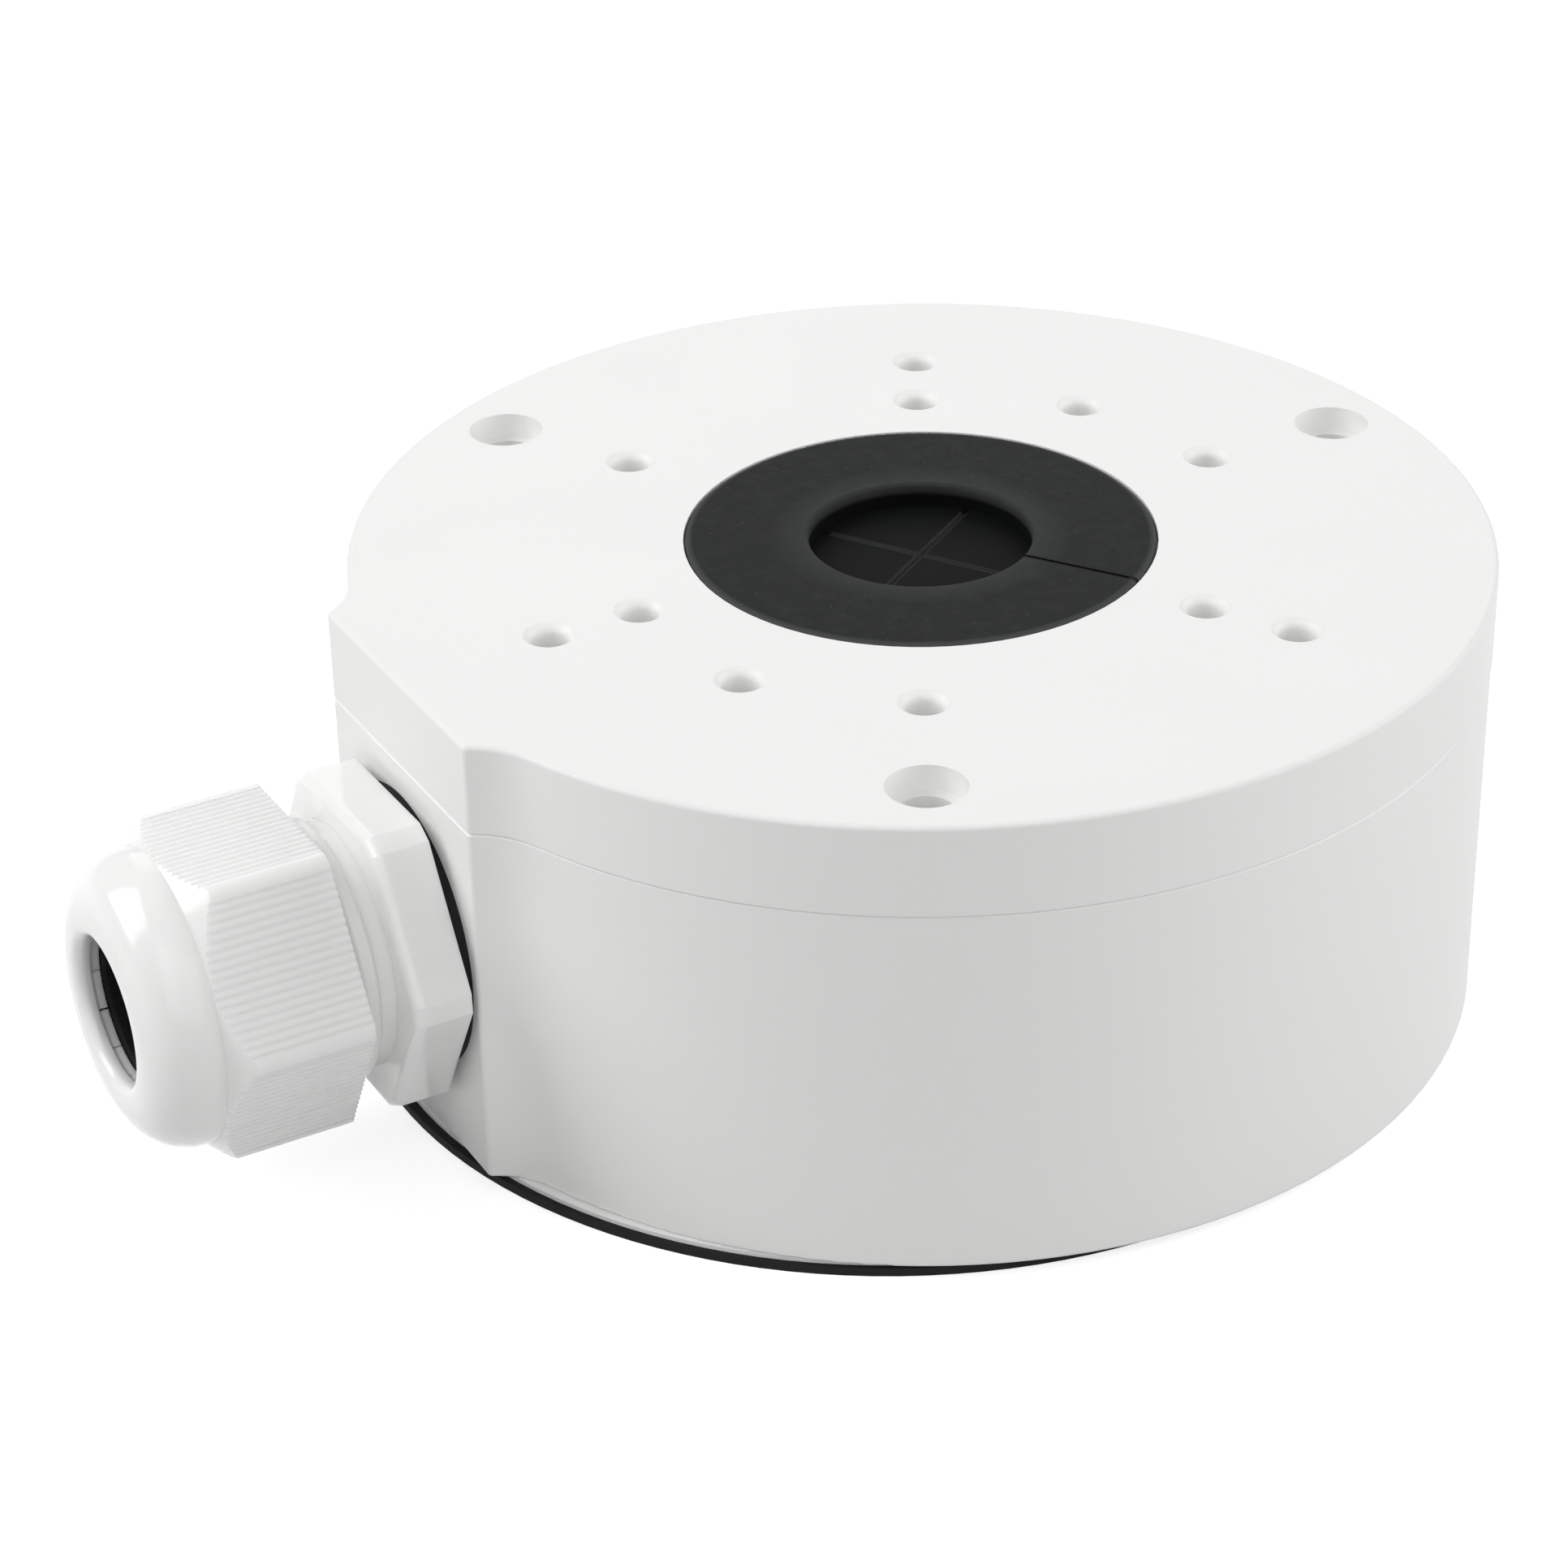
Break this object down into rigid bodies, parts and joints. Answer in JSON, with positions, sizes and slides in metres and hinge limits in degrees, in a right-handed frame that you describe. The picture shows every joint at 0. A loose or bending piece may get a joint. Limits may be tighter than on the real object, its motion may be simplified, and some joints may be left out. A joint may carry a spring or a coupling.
{
  "type": "camera junction box",
  "caption": "Round cast junction box for a wall or ceiling camera, with a drilled cover, a rubber cable grommet and a ribbed side cable gland.",
  "frame": {"origin": "centre of the box on the wall plane, at the underside of the wall gasket", "axes": "+Z out of the wall through the cover, -X along the cable gland"},
  "size_m": [0.1279, 0.0996, 0.0433],
  "materials": {
    "painted_casting": "satin",
    "nylon": "gloss",
    "rubber": "matte",
    "steel": "satin"
  },
  "bodies": {
    "box": {"base_body": "painted_casting", "wall_gasket": "rubber", "gland_body": "nylon", "gland_washer": "rubber", "gland_locknut": "nylon", "earth_screw": "steel", "earth_washer": "steel"},
    "lid": {"cover": "painted_casting", "cover_seal": "rubber", "cable_grommet": "rubber"},
    "gland_insert": {"gland_claw": "nylon", "gland_rubber": "rubber"},
    "dome_nut": {"gland_nut": "nylon"}
  },
  "joints": [
    {"name": "lid_lift", "type": "slide", "parent": "box", "child": "lid", "axis": [0, 0, 1], "range_m": [0, 0.05]},
    {"name": "gland_nut_travel", "type": "slide", "parent": "box", "child": "gland_insert", "axis": [-1, 0, 0], "range_m": [-0.0004, 0.0046]},
    {"name": "gland_nut_turn", "type": "hinge", "parent": "gland_insert", "child": "dome_nut", "pos_m": [-0.069, 0, 0.0195], "axis": [-1, 0, 0], "range_deg": [-90, 1080]}
  ],
  "couplings": [
    {"joint": "gland_nut_travel", "follows": "gland_nut_turn", "m_per_rad": 0.00023873}
  ]
}
